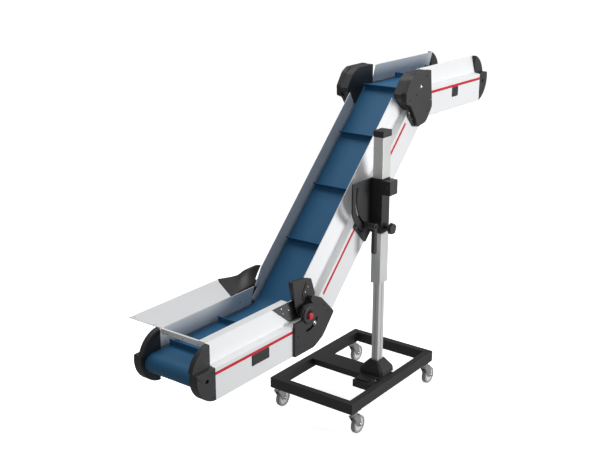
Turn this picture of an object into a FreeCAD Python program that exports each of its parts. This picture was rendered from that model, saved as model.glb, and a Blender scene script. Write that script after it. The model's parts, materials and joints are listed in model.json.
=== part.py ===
import FreeCAD, Part
import math
import os

from FreeCAD import Placement, Rotation, Vector

# Height-adjustable Z belt conveyor on a mobile stand.  Millimetres, +Z up, +X from the low infeed
# end to the high discharge end.  The origin is on the floor, below the middle of the bounding box.

SIZES = {
    # the three conveyor sections: lengths run between hinge axes, or from an axis to a profile end
    "infeed_length": 690, "incline_length": 1443, "discharge_length": 752, "incline_angle": 45,
    "hinge_rise": 30, "side_reach": 50, "ledge_width": 37, "guard_lean": 23, "face_drop": 162,
    "guard_rise": 105, "ledge_rise": 5, "sheet_wall": 4, "bottom_lip": 26,
    # belt, bed and drums
    "belt_width": 300, "belt_thick": 2, "bed_thick": 3, "drum_dia": 90, "drum_inset": 1,
    "shaft_dia": 20, "return_bar_dia": 30, "drum_reach": 56, "discharge_reach": 45,
    "cleat_pitch": 347, "cleat_height": 34, "cleat_thick": 5, "cleat_inset": 12,
    "stripe_level": 28, "stripe_width": 15, "stripe_thick": 1,
    "running_gap": 0.3, "bearing_gap": 0.05, "side_gap": 0.5,
    # end caps
    "cap_nose": 124, "cap_nose_discharge": 98, "cap_clear": 2, "cap_blade": 23,
    # hopper
    "wing_width": 197, "wing_front_short": 189, "wing_back_short": 50, "hopper_sheet_thick": 3,
    "hopper_wall_out": 16, "lip_width": 42, "bar_drop": 26, "bar_depth": 12,
    # hinge plates and covers
    "plate_thick": 14, "cover_proud": 30, "flange_thick": 8, "cover_hole": 15,
    "guard_thick": 6, "pin_dia": 24, "bend_slot_radius": 80, "bend_slot_width": 17,
    "cover_setback": 147, "discharge_setback": 122, "knob_dia": 34, "knob_depth": 16,
    # tilt clamp
    "tilt_height": 1233, "tilt_station": 780, "tilt_pin_dia": 30, "bracket_thick": 10,
    "bracket_behind": 238, "bracket_ahead": 46,
    "quadrant_thick": 10, "clamp_gap": 0.5, "slot_radius": 184, "slot_width": 16,
    "stud_dia": 15.4, "lever_length": 150, "lever_hub_dia": 36,
    "carriage_height": 300, "carriage_wall": 4, "block_height": 76, "block_depth": 47,
    "height_knob_dia": 62, "height_knob_depth": 20,
    # mast
    "outer_x": 79, "outer_y": 60, "outer_wall": 4, "inner_x": 56, "inner_y": 40,
    "outer_below_tilt": 498, "outer_above_tilt": 311, "inner_above_tilt": 17, "mast_cap_height": 34,
    # base
    "base_length": 842, "base_width": 546, "base_ahead": 433, "base_near": 126, "beam_height": 60,
    "beam_width": 40, "cross_width": 130, "cross_thick": 12, "cover_height": 72,
    "foot_reach": 75, "foot_width": 134, "foot_height": 40,
    # casters
    "wheel_dia": 100, "tyre_width": 28, "hub_dia": 74, "axle_dia": 10, "trail": 38,
    "caster_inset": 50, "caster_plate": 3, "fork_thick": 3, "swivel_dia": 40, "swivel_height": 24,
    "wheel_clear": 15,
    # sizes that follow from the ones above
    "half_width": "=belt_width / 2 + side_reach", "ledge_half": "=half_width - ledge_width",
    "guard_half": "=ledge_half - guard_lean", "cap_inner": "=belt_width / 2 + cap_clear",
    "drum_length": "=belt_width - 2 * drum_inset", "hopper_wall_half": "=guard_half + hopper_wall_out",
    "wing_front": "=infeed_length - wing_front_short", "wing_back": "=infeed_length - wing_back_short",
    "mast_offset": "=half_width + bracket_thick + clamp_gap + quadrant_thick + carriage_wall"
                   " + side_gap + outer_y / 2",
    "outer_bottom": "=tilt_height - outer_below_tilt", "outer_top": "=tilt_height + outer_above_tilt",
    "inner_top": "=tilt_height + inner_above_tilt",
    "beam_top": "=wheel_dia + wheel_clear + swivel_height + caster_plate + beam_height",
}

doc = FreeCAD.newDocument("belt_conveyor")
sheet = doc.addObject("Spreadsheet::Sheet", "Dims")
for row, (alias, number) in enumerate(SIZES.items(), start=1):
    sheet.set("A%d" % row, alias)
    sheet.set("B%d" % row, str(number))
    sheet.setAlias("B%d" % row, alias)
doc.recompute()

nodes = []


def dim(alias):
    """The value of one driving dimension, read from the sheet."""
    return float(getattr(sheet, alias))


# ---------------------------------------------------------------- places that several pieces share

angle = dim("incline_angle")
slope_cos = math.cos(math.radians(angle))
slope_sin = math.sin(math.radians(angle))
stripe_below_hinge = dim("stripe_level") + dim("hinge_rise")
tilt_station = dim("tilt_station")

# the lower hinge axis, seen from the tilt pivot, which stands straight above the mast foot
low_x = -tilt_station * slope_cos - stripe_below_hinge * slope_sin
low_z = dim("tilt_height") - tilt_station * slope_sin + stripe_below_hinge * slope_cos
high_x = low_x + dim("incline_length") * slope_cos
high_z = low_z + dim("incline_length") * slope_sin

left_end = low_x - dim("infeed_length") - dim("cap_nose")
right_end = high_x + dim("discharge_length") + dim("cap_nose_discharge")
mast_x = -(left_end + right_end) / 2
far_edge = dim("hopper_wall_half") + dim("wing_width")
near_edge = -dim("mast_offset") - dim("base_near")
belt_y = -(far_edge + near_edge) / 2
mast_y = belt_y - dim("mast_offset")
low_x += mast_x
high_x += mast_x

LEVEL = Rotation()
TILTED = Rotation(Vector(0, 1, 0), -angle)
infeed_frame = Placement(Vector(low_x, belt_y, low_z), LEVEL)
incline_frame = Placement(Vector(low_x, belt_y, low_z), TILTED)
discharge_frame = Placement(Vector(high_x, belt_y, high_z), LEVEL)
stand_frame = Placement(Vector(mast_x, mast_y, 0), LEVEL)
tilt_frame = Placement(Vector(mast_x, mast_y, dim("tilt_height")), LEVEL)

rise = dim("hinge_rise")
face_top = -rise - 1
face_bottom = -rise - dim("face_drop")
ledge_top = -rise + dim("ledge_rise")
guard_top = -rise + dim("guard_rise")
side_face = dim("half_width")
belt_top = -rise
belt_under = -rise - dim("belt_thick")
bed_under = belt_under - dim("bed_thick")
loop_radius = dim("drum_dia") / 2 + dim("running_gap") + dim("belt_thick")
drum_level = belt_top - loop_radius
near_face = dim("mast_offset") - side_face
bed_half = dim("ledge_half") + 13
slim_half = dim("cap_inner") - 1


# ---------------------------------------------------------------- building helpers

def keep(item, label, place):
    """Name a finished sub-part, put it in its place and list it for export."""
    item.Label = label
    item.Placement = place.multiply(item.Placement)
    nodes.append(item)
    return item


def rounded(points, radii):
    """Outline of straight runs through the points, with an arc at each corner that has a radius."""
    corners = [Vector(x, y, 0) for x, y in points]
    entries, exits, arcs = [], [], {}
    for index, corner in enumerate(corners):
        before = (corners[index - 1] - corner).normalize()
        after = (corners[(index + 1) % len(corners)] - corner).normalize()
        radius = radii.get(index, 0)
        if radius:
            half = before.getAngle(after) / 2
            reach = radius / math.tan(half)
            bisector = (before + after).normalize()
            middle = corner + bisector * (radius / math.sin(half) - radius)
            arcs[index] = Part.Arc(corner + before * reach, middle, corner + after * reach)
            entries.append(corner + before * reach)
            exits.append(corner + after * reach)
        else:
            entries.append(corner)
            exits.append(corner)
    geometry = []
    for index in range(len(corners)):
        if index in arcs:
            geometry.append(arcs[index])
        start, stop = exits[index], entries[(index + 1) % len(corners)]
        if start.distanceToPoint(stop) > 1e-6:
            geometry.append(Part.LineSegment(start, stop))
    return geometry


def ring(x, y, radius):
    """A round hole in an outline."""
    return [Part.Circle(Vector(x, y, 0), Vector(0, 0, 1), radius)]


def arc_slot(radius, width, start, stop):
    """A slot in an outline, round at both ends, that follows an arc about the origin (degrees)."""
    half = width / 2
    first, last = math.radians(start), math.radians(stop)
    sides = []
    for size in (radius + half, radius - half):
        sides.append(Part.Arc(*[Vector(math.cos(turn), math.sin(turn), 0) * size
                                for turn in (first, (first + last) / 2, last)]))
    ends = []
    for turn, way in ((first, -1), (last, 1)):
        out = Vector(math.cos(turn), math.sin(turn), 0)
        along = Vector(-math.sin(turn), math.cos(turn), 0) * way * half
        centre = out * radius
        ends.append(Part.Arc(centre + out * half, centre + along, centre - out * half))
    return sides + ends


def origin_plane(body, role):
    """One of the body's own origin planes."""
    return next(item for item in body.Origin.OriginFeatures if item.Role == role)


def slab(name, plane, outline, length, shift=0, holes=(), midplane=False):
    """A body padded from one sketch: XZ pads towards -Y, XY towards +Z and YZ towards +X."""
    body = doc.addObject("PartDesign::Body", name)
    sketch = body.newObject("Sketcher::SketchObject", name + "_sketch")
    sketch.AttachmentSupport = (origin_plane(body, plane + "_Plane"), [""])
    sketch.MapMode = "FlatFace"
    sketch.AttachmentOffset = Placement(Vector(0, 0, shift), Rotation())
    sketch.addGeometry(list(outline) + [edge for hole in holes for edge in hole], False)
    pad = body.newObject("PartDesign::Pad", name + "_pad")
    pad.Profile = sketch
    pad.setExpression("Length", length)
    pad.Midplane = midplane
    doc.recompute()
    return body


def box(name, length, width, height, corner):
    """A plain block with bound sizes, placed by its low corner."""
    block = doc.addObject("Part::Box", name)
    block.setExpression("Length", length)
    block.setExpression("Width", width)
    block.setExpression("Height", height)
    block.Placement.Base = Vector(*corner)
    return block


def rod(name, radius, height, start, axis):
    """A cylinder with a bound radius and height, from its start point along an axis."""
    cylinder = doc.addObject("Part::Cylinder", name)
    cylinder.setExpression("Radius", radius)
    cylinder.setExpression("Height", height)
    cylinder.Placement = Placement(Vector(*start), Rotation(Vector(0, 0, 1), Vector(*axis)))
    return cylinder


def fuse(name, *pieces):
    """One solid from several overlapping or touching pieces."""
    joined = doc.addObject("Part::MultiFuse", name)
    joined.Shapes = list(pieces)
    joined.Refine = True
    doc.recompute()
    return joined


def cut(name, base, tool):
    """The base with the tool taken out of it."""
    result = doc.addObject("Part::Cut", name)
    result.Base = base
    result.Tool = tool
    result.Refine = True
    doc.recompute()
    return result


def solids(name, *pieces):
    """Several separate solids of one kind that share a node."""
    group = doc.addObject("Part::Compound", name)
    group.Links = list(pieces)
    doc.recompute()
    return group


NEAR, FAR = -1, 1


# ---------------------------------------------------------------- mobile base

def build_base():
    ahead, beside = -dim("base_ahead"), -dim("base_near")
    length, width, tube = dim("base_length"), dim("base_width"), dim("beam_width")
    under = dim("beam_top") - dim("beam_height")
    outer = [(ahead, beside), (ahead + length, beside), (ahead + length, beside + width),
             (ahead, beside + width)]
    inner = [(ahead + tube, beside + tube), (ahead + length - tube, beside + tube),
             (ahead + length - tube, beside + width - tube), (ahead + tube, beside + width - tube)]
    tubes = slab("tubes", "XY", rounded(outer, {corner: 3 for corner in range(4)}),
                 "Dims.beam_height", under, [rounded(inner, {})])
    pads = [box("caster_pad", "84", "Dims.beam_width", "Dims.caster_plate",
                (x - 42, y - tube / 2, under - dim("caster_plate"))) for x, y in caster_spots()]
    keep(fuse("welded_frame", tubes, *pads), "base_frame", stand_frame)

    cross_left = -dim("cross_width") / 2 - 30
    span = dim("base_width") - 2 * dim("beam_width")
    plate = box("cross", "Dims.cross_width", "Dims.base_width - 2 * Dims.beam_width", "Dims.cross_thick",
                (cross_left, beside + tube, dim("beam_top") - dim("cross_thick")))
    web = box("web", "Dims.cross_width - 16", "Dims.base_width - 2 * Dims.beam_width", "6",
              (cross_left + 8, beside + tube, dim("beam_top") - dim("cross_thick") - 30))
    rib_left = box("rib_left", "6", "Dims.base_width - 2 * Dims.beam_width", "30",
                   (cross_left + 8, beside + tube, dim("beam_top") - dim("cross_thick") - 30))
    rib_right = box("rib_right", "6", "Dims.base_width - 2 * Dims.beam_width", "30",
                    (cross_left + dim("cross_width") - 14, beside + tube,
                     dim("beam_top") - dim("cross_thick") - 30))

    reach, breadth = dim("foot_reach"), dim("foot_width")
    foot_far = beside + tube + breadth + 3
    pad_outline = [(cross_left, foot_far), (cross_left - reach, foot_far),
                   (cross_left - reach, foot_far - breadth), (cross_left, foot_far - breadth)]
    block = slab("foot_block", "XY", rounded(pad_outline, {1: 6, 2: 6}), "Dims.foot_height",
                 dim("beam_top") - dim("foot_height") - 8)
    tongue_left, tongue_near = cross_left - reach + 16, foot_far - breadth + 26
    tongue_outline = [(cross_left, foot_far - 8), (tongue_left, foot_far - 8),
                      (tongue_left, tongue_near), (cross_left, tongue_near)]
    tongue = slab("foot_tongue", "XY", rounded(tongue_outline, {1: 14, 2: 46}), "8 mm",
                  dim("beam_top") - 8)
    cross = fuse("cross_and_foot", plate, web, rib_left, rib_right, block, tongue)
    keep(cross, "cross_member", stand_frame)


def build_mast_foot():
    """Black moulded cover round the mast foot, and the fixed slotted inner column."""
    wide, deep, tall = 136, 152, dim("cover_height")
    top_x, top_y, skirt = dim("inner_x") + 22, dim("inner_y") + 24, 26
    clear = dim("running_gap")

    def frame_wire(size_x, size_y, level):
        half_x, half_y, chamfer = size_x / 2, size_y / 2, size_x / 9
        outline = [(-half_x, -half_y + chamfer), (-half_x + chamfer, -half_y),
                   (half_x - chamfer, -half_y), (half_x, -half_y + chamfer),
                   (half_x, half_y - chamfer), (half_x - chamfer, half_y),
                   (-half_x + chamfer, half_y), (-half_x, half_y - chamfer)]
        corners = [Vector(x, y, level) for x, y in outline]
        return Part.makePolygon(corners + corners[:1])

    floor = dim("beam_top")
    base = Part.makeLoft([frame_wire(wide, deep, floor),
                          frame_wire(wide - 4, deep - 4, floor + skirt)], True)
    hood = Part.makeLoft([frame_wire(wide - 4, deep - 4, floor + skirt),
                          frame_wire(top_x, top_y, floor + tall)], True)
    opening = Part.makeBox(dim("inner_x") + 2 * clear, dim("inner_y") + 2 * clear, tall,
                           Vector(-dim("inner_x") / 2 - clear, -dim("inner_y") / 2 - clear, floor))
    cover = doc.addObject("Part::Feature", "base_cover")
    cover.Shape = base.fuse(hood).removeSplitter().cut(opening)
    keep(cover, "base_cover", stand_frame)

    half_x, half_y, groove, deep_groove = dim("inner_x") / 2, dim("inner_y") / 2, 4, 7
    outline = [(-half_x, -half_y), (-groove, -half_y), (-groove, -half_y + deep_groove),
               (groove, -half_y + deep_groove), (groove, -half_y), (half_x, -half_y),
               (half_x, half_y), (groove, half_y), (groove, half_y - deep_groove),
               (-groove, half_y - deep_groove), (-groove, half_y), (-half_x, half_y),
               (-half_x, groove), (-half_x + deep_groove, groove), (-half_x + deep_groove, -groove),
               (-half_x, -groove)]
    column = slab("mast_inner", "XY", rounded(outline, {0: 2, 5: 2, 6: 2, 11: 2}),
                  "Dims.inner_top - Dims.beam_top", dim("beam_top"))
    keep(column, "mast_inner", stand_frame)


def build_mast_slide():
    """Outer tube that telescopes over the inner column, and its top cap."""
    half_x, half_y, wall = dim("outer_x") / 2, dim("outer_y") / 2, dim("outer_wall")
    clear = dim("side_gap")
    outer = [(-half_x, -half_y), (half_x, -half_y), (half_x, half_y), (-half_x, half_y)]
    bore_x, bore_y = dim("inner_x") / 2 + clear, dim("inner_y") / 2 + clear
    inner = [(-bore_x, -bore_y), (bore_x, -bore_y), (bore_x, bore_y), (-bore_x, bore_y)]
    tube = slab("mast_outer", "XY", rounded(outer, {corner: wall for corner in range(4)}),
                "Dims.outer_top - Dims.outer_bottom", dim("outer_bottom"), [rounded(inner, {})])
    keep(tube, "mast_outer", stand_frame)
    over = 3
    cap_outline = [(-half_x - over, -half_y - over), (half_x + over, -half_y - over),
                   (half_x + over, half_y + over), (-half_x - over, half_y + over)]
    cap = slab("mast_cap", "XY", rounded(cap_outline, {corner: 6 for corner in range(4)}),
               "Dims.mast_cap_height", dim("outer_top"))
    keep(cap, "mast_cap", stand_frame)


def build_caster(number, ahead, beside):
    """One swivel caster: pressed fork with its turntable and axle, hub and tyre."""
    top = dim("beam_top") - dim("beam_height") - dim("caster_plate")
    axle_level = dim("wheel_dia") / 2
    inner_half = dim("tyre_width") / 2 + 2
    outer_half = inner_half + dim("fork_thick")
    crown = top - dim("swivel_height")
    trail = dim("trail")
    turntable = rod("turntable", "Dims.swivel_dia / 2", "Dims.swivel_height - Dims.running_gap",
                    (0, 0, crown), (0, 0, 1))
    bridge = slab("bridge", "XY",
                  rounded([(-24, -outer_half), (34, -outer_half),
                           (34, outer_half), (-24, outer_half)],
                          {corner: 6 for corner in range(4)}), "Dims.fork_thick", crown - dim("fork_thick"))
    cheek = [(-24, crown), (trail - 14, axle_level - 8), (trail + 12, axle_level - 8), (34, crown)]
    cheeks = []
    for side in (NEAR, FAR):
        shift = inner_half if side == NEAR else -outer_half
        cheeks.append(slab("cheek", "XZ", rounded(cheek, {1: 10, 2: 10}), "Dims.fork_thick", shift))
    axle = rod("axle", "Dims.axle_dia / 2", "Dims.beam_width - 0.2",
               (trail, dim("beam_width") / 2 - 0.1, axle_level), (0, -1, 0))
    place = stand_frame.multiply(Placement(Vector(ahead, beside, 0), LEVEL))
    fork = fuse("caster_fork_%d" % number, turntable, bridge, *cheeks, axle)
    keep(fork, "caster_fork_%d" % number, place)

    bore = dim("axle_dia") / 2 + dim("bearing_gap")
    core = slab("hub", "XZ", ring(0, 0, dim("hub_dia") / 2), "Dims.tyre_width - 6", 0,
                [ring(0, 0, bore)], True)
    boss = slab("boss", "XZ", ring(0, 0, dim("axle_dia") / 2 + 5), "Dims.tyre_width + 2", 0,
                [ring(0, 0, bore)], True)
    hub = fuse("caster_hub_%d" % number, core, boss)
    hub.Placement.Base = Vector(trail, 0, axle_level)
    keep(hub, "caster_hub_%d" % number, place)

    radius, half = dim("wheel_dia") / 2, dim("tyre_width") / 2
    tread = rounded([(dim("hub_dia") / 2, -half), (radius, -half), (radius, half),
                     (dim("hub_dia") / 2, half)], {1: 6, 2: 6})
    tyre_body = doc.addObject("PartDesign::Body", "tyre")
    sketch = tyre_body.newObject("Sketcher::SketchObject", "tyre_sketch")
    sketch.AttachmentSupport = (origin_plane(tyre_body, "XY_Plane"), [""])
    sketch.MapMode = "FlatFace"
    sketch.addGeometry(tread, False)
    turn = tyre_body.newObject("PartDesign::Revolution", "tyre_turn")
    turn.Profile = sketch
    turn.ReferenceAxis = (sketch, ["V_Axis"])
    turn.Angle = 360
    doc.recompute()
    tyre_body.Placement.Base = Vector(trail, 0, axle_level)
    keep(tyre_body, "caster_tyre_%d" % number, place)


def caster_spots():
    """Swivel axes of the four casters, seen from the mast foot."""
    inset, middle = dim("caster_inset"), dim("beam_width") / 2
    ahead, behind = -dim("base_ahead") + inset, dim("base_length") - dim("base_ahead") - inset
    near, far = -dim("base_near") + middle, dim("base_width") - dim("base_near") - middle
    return [(ahead, far), (ahead, near), (behind, near), (behind, far)]


def build_casters():
    for number, (x, y) in enumerate(caster_spots(), start=1):
        build_caster(number, x, y)


# ---------------------------------------------------------------- height carriage and tilt clamp

def build_carriage():
    """Black carriage that grips the mast, with the slotted quadrant that holds the tilt."""
    clear, wall = dim("side_gap"), dim("carriage_wall")
    half_x, half_y = dim("outer_x") / 2 + clear, dim("outer_y") / 2 + clear
    top = 91
    low = top - dim("carriage_height")
    opening = 20
    outline = [(half_x - 8, -half_y - wall), (half_x - 8, -half_y), (-half_x, -half_y), (-half_x, half_y),
               (half_x, half_y), (half_x, half_y - opening), (half_x + wall, half_y - opening),
               (half_x + wall, half_y + wall), (-half_x - wall, half_y + wall),
               (-half_x - wall, -half_y - wall)]
    sleeve = slab("carriage", "XY", rounded(outline, {7: 3, 8: 3, 9: 3}), "Dims.carriage_height", low)
    keep(sleeve, "carriage", tilt_frame)

    depth = dim("block_depth")
    back, front_edge = -half_y - wall, -half_y - wall - depth
    block = [(-half_x - 2, front_edge), (half_x - 6, front_edge), (half_x - 6, back), (-half_x - 2, back)]
    brake = slab("brake", "XY", rounded(block, {0: 5, 1: 5}), "Dims.block_height",
                 top - dim("block_height") - 8)
    button = rod("button", "11", "6", (-half_x - 2, -half_y - wall - depth / 2, top - 46), (-1, 0, 0))
    keep(fuse("brake_block", brake, button), "brake_block", tilt_frame)

    # the quadrant plate, its slot an arc about the tilt pivot
    front = dim("outer_y") / 2 + clear + wall
    radius = dim("slot_radius")
    reach = radius + 30
    plate = [(half_x + wall, low + 20), (half_x + wall, top), (-reach, top - 2), (-reach, -80),
             (-reach * 0.83, -140), (-radius * 0.62, -radius * 1.08), (-half_x, low + 20)]
    quadrant = slab("quadrant", "XZ", rounded(plate, {2: 6, 3: 60, 4: 60, 5: 30}), "Dims.quadrant_thick",
                    -front - dim("quadrant_thick"))
    slot = slab("slot", "XZ", arc_slot(radius, dim("slot_width"), 162, 246), "Dims.quadrant_thick + 2",
                -front - dim("quadrant_thick") - 1)
    slotted = cut("slotted_plate", quadrant, slot)
    pin = rod("tilt_pin", "Dims.tilt_pin_dia / 2", str(near_face - front - dim("running_gap")),
              (0, front, 0), (0, 1, 0))
    keep(fuse("quadrant_and_pin", slotted, pin), "quadrant_plate", tilt_frame)

    knob_y = -half_y - wall
    stem = rod("stem", "8", "28", (0, knob_y, low + 26), (0, -1, 0))
    lobes = [rod("lobe", "9", "Dims.height_knob_depth",
                 (22 * math.cos(math.radians(72 * step + 90)), knob_y - 28,
                  low + 26 + 22 * math.sin(math.radians(72 * step + 90))), (0, -1, 0)) for step in range(5)]
    disc = rod("disc", "Dims.height_knob_dia / 2 - 3", "Dims.height_knob_depth",
               (0, knob_y - 28, low + 26), (0, -1, 0))
    keep(fuse("height_knob", stem, disc, *lobes), "height_knob", tilt_frame)


def stud_point():
    """The clamp stud's place in the slot, seen from the tilt pivot."""
    turn = math.radians(238.5)
    return dim("slot_radius") * math.cos(turn), dim("slot_radius") * math.sin(turn)


def build_tilt_clamp():
    """Bracket on the incline's near side, with its pivot bore and clamp stud, and the lever."""
    thick = dim("bracket_thick")
    station = tilt_station
    back, front = station - dim("bracket_behind"), station + dim("bracket_ahead")
    low, high = face_bottom + 1, face_top - 4
    outline = [(back, low), (front, low), (front, high), (back, high)]
    bore = ring(station, -stripe_below_hinge, dim("tilt_pin_dia") / 2 + dim("bearing_gap"))
    plate = slab("bracket", "XZ", rounded(outline, {0: 8, 1: 8, 2: 30, 3: 8}), "Dims.bracket_thick",
                 side_face, [bore])
    stud_x, stud_z = stud_point()
    along_belt = stud_x * slope_cos + stud_z * slope_sin
    across = -stud_x * slope_sin + stud_z * slope_cos
    face = -side_face - thick
    stud = rod("stud", "Dims.stud_dia / 2", "64",
               (station + along_belt, face, across - stripe_below_hinge), (0, -1, 0))
    keep(fuse("tilt_bracket", plate, stud), "tilt_bracket", incline_frame)

    hub_start = dim("outer_y") / 2 + dim("carriage_wall")
    bore = dim("stud_dia") / 2 + dim("bearing_gap")
    hub = slab("lever_hub", "XZ", ring(0, 0, dim("lever_hub_dia") / 2), "68 mm", -hub_start,
               [ring(0, 0, bore)])
    arm_outline = [(-11, 8), (11, 8), (14, -dim("lever_length")), (-14, -dim("lever_length"))]
    arm = slab("lever_arm", "XZ", rounded(arm_outline, {2: 12, 3: 12}), "20 mm", -hub_start + 48,
               [ring(0, 0, bore)])
    lever = fuse("tilt_lever", hub, arm)
    lever.Placement.Base = Vector(stud_x, 0, stud_z)
    keep(lever, "tilt_lever", tilt_frame)


# ---------------------------------------------------------------- conveyor sections

def side_outline(side):
    """Cross-section of one side profile: lower face, sloped ledge and guard leaning inwards."""
    wall, lip = dim("sheet_wall"), dim("bottom_lip")
    outer, ledge, guard = dim("half_width"), dim("ledge_half"), dim("guard_half")
    points = [(outer - lip, face_bottom), (outer, face_bottom), (outer, face_top), (ledge, ledge_top),
              (guard, guard_top), (guard - wall, guard_top), (ledge - wall, ledge_top - wall),
              (outer - wall, face_top - wall), (outer - wall, face_bottom + wall),
              (outer - lip, face_bottom + wall)]
    return rounded([(side * across, level) for across, level in points], {})


def side_profile(label, side, start, length, place, trim=None):
    profile = slab(label + "_pad", "YZ", side_outline(side), length, start)
    if trim:
        tool = slab(label + "_trim", "XZ", rounded(trim, {}), "2 * Dims.half_width + 20", 0, (), True)
        profile = cut(label + "_cut", profile, tool)
    keep(profile, label, place)


def bed(label, edges):
    """Slider bed under the carrying run, from (station, half-width) pairs along one edge."""
    outline = [(x, -half) for x, half in edges] + [(x, half) for x, half in reversed(edges)]
    return slab(label, "XY", rounded(outline, {}), "Dims.bed_thick", bed_under)


def stripes(label, stretches, place):
    """Slim coloured inlay along the outer faces, one strip per side, start and bound length."""
    level, half = -stripe_below_hinge, dim("stripe_width") / 2
    thick = dim("stripe_thick")
    strips = []
    for side, start, length in stretches:
        outline = [(side * across, height) for across, height in
                   ((side_face, level - half), (side_face + thick, level - half),
                    (side_face + thick, level + half), (side_face, level + half))]
        strips.append(slab("stripe", "YZ", rounded(outline, {}), length, start))
    keep(solids(label, *strips), label, place)


def belt(label, runs, cleats, place):
    """Closed belt outline of one section, with its flights, padded to the belt's width."""
    loop = slab("belt_loop", "XZ", runs, "Dims.belt_width", 0, (), True)
    flights = [box("cleat", "Dims.cleat_thick", "Dims.belt_width - 2 * Dims.cleat_inset",
                   "Dims.cleat_height",
                   (spot - dim("cleat_thick") / 2, -dim("belt_width") / 2 + dim("cleat_inset"), belt_top))
               for spot in cleats]
    piece = fuse(label, loop, *flights) if flights else loop
    keep(piece, label, place)


def wrapped_run(drum, open_top, open_bottom):
    """Side view of a belt that runs round an end drum and stays open towards the hinge."""
    way = -1 if drum < open_top else 1
    inner = loop_radius - dim("belt_thick")
    high, low = belt_top, belt_top - 2 * loop_radius
    centre = Vector(drum, drum_level, 0)
    outer_arc = Part.Arc(centre + Vector(0, loop_radius, 0), centre + Vector(way * loop_radius, 0, 0),
                         centre + Vector(0, -loop_radius, 0))
    inner_arc = Part.Arc(centre + Vector(0, inner, 0), centre + Vector(way * inner, 0, 0),
                         centre + Vector(0, -inner, 0))
    thick = dim("belt_thick")
    corners = [(drum, high), (open_top, high), (open_top, high - thick), (drum, high - thick)]
    lower = [(drum, low), (open_bottom, low), (open_bottom, low + thick), (drum, low + thick)]
    lines = []
    for chain in (corners, lower):
        points = [Vector(x, z, 0) for x, z in chain]
        lines += [Part.LineSegment(first, second) for first, second in zip(points, points[1:])]
    return lines + [outer_arc, inner_arc]


def drum(label, centre, place):
    """Crowned end drum turning on its own through shaft."""
    shell = rod("shell", "Dims.drum_dia / 2", "Dims.drum_length",
                (centre, -dim("drum_length") / 2, drum_level), (0, 1, 0))
    shaft_half = dim("half_width") - 14
    shaft = rod("drum_shaft", "Dims.shaft_dia / 2", str(2 * shaft_half), (centre, -shaft_half, drum_level),
                (0, 1, 0))
    keep(fuse(label, shell, shaft), label, place)


def end_cap(label, side, root, way, nose, drum_centre, place):
    """Moulded end cap with a round front: thick lower block and a slimmer blade beside the guard."""
    top, bottom, split = guard_top + 2, face_bottom, face_top + 3
    middle, half = (top + bottom) / 2, (top - bottom) / 2
    radius = (half ** 2 + nose ** 2) / (2 * nose)

    def on_arc(level):
        """The point of the round front at one level."""
        reach = math.sqrt(radius ** 2 - (level - middle) ** 2)
        return Vector(root + way * (nose - radius + reach), level, 0)

    corners = [Vector(root, level, 0) for level in (bottom, split, top)]
    step = on_arc(split)
    lower = [Part.Arc(corners[0], on_arc(middle), step), Part.LineSegment(step, corners[1]),
             Part.LineSegment(corners[1], corners[0])]
    blade = [Part.Arc(step, on_arc((split + top) / 2), corners[2]),
             Part.LineSegment(corners[2], corners[1]), Part.LineSegment(corners[1], step)]
    depth = dim("half_width") - dim("cap_inner")
    bore = ring(drum_centre, drum_level, dim("shaft_dia") / 2 + dim("bearing_gap"))
    block = slab("cap_block", "XZ", lower, str(depth),
                 dim("cap_inner") if side == NEAR else -dim("half_width"), [bore])
    outer = dim("guard_half") + dim("cap_blade") + 6
    blade_pad = slab("cap_blade", "XZ", blade, str(outer - dim("cap_inner") + 10),
                     dim("cap_inner") - 10 if side == NEAR else -outer)
    keep(fuse(label, block, blade_pad), label, place)


# ---------------------------------------------------------------- infeed section

def build_infeed():
    length = dim("infeed_length")
    start = -length
    place = infeed_frame
    for label, side in (("infeed_side_near", NEAR), ("infeed_side_far", FAR)):
        side_profile(label, side, start, "Dims.infeed_length - 3", place)
    keep(bed("infeed_bed", [(start, bed_half), (-4, bed_half)]), "infeed_bed", place)
    stripes("infeed_stripes", [(side, start, "Dims.infeed_length - 112") for side in (NEAR, FAR)], place)
    centre = start - dim("drum_reach")
    pitch = dim("cleat_pitch")
    first = -287
    belt("infeed_belt", wrapped_run(centre, -1, -1), [first, first - pitch], place)
    drum("tail_drum", centre, place)
    for label, side in (("infeed_cap_near", NEAR), ("infeed_cap_far", FAR)):
        end_cap(label, side, start, -1, dim("cap_nose"), centre, place)
    name_plate = box("name_plate", "130", "3", "55", (start + 258, -side_face - 3, face_bottom + 71))
    keep(name_plate, "infeed_plate", place)
    build_hopper(start, place)


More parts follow.
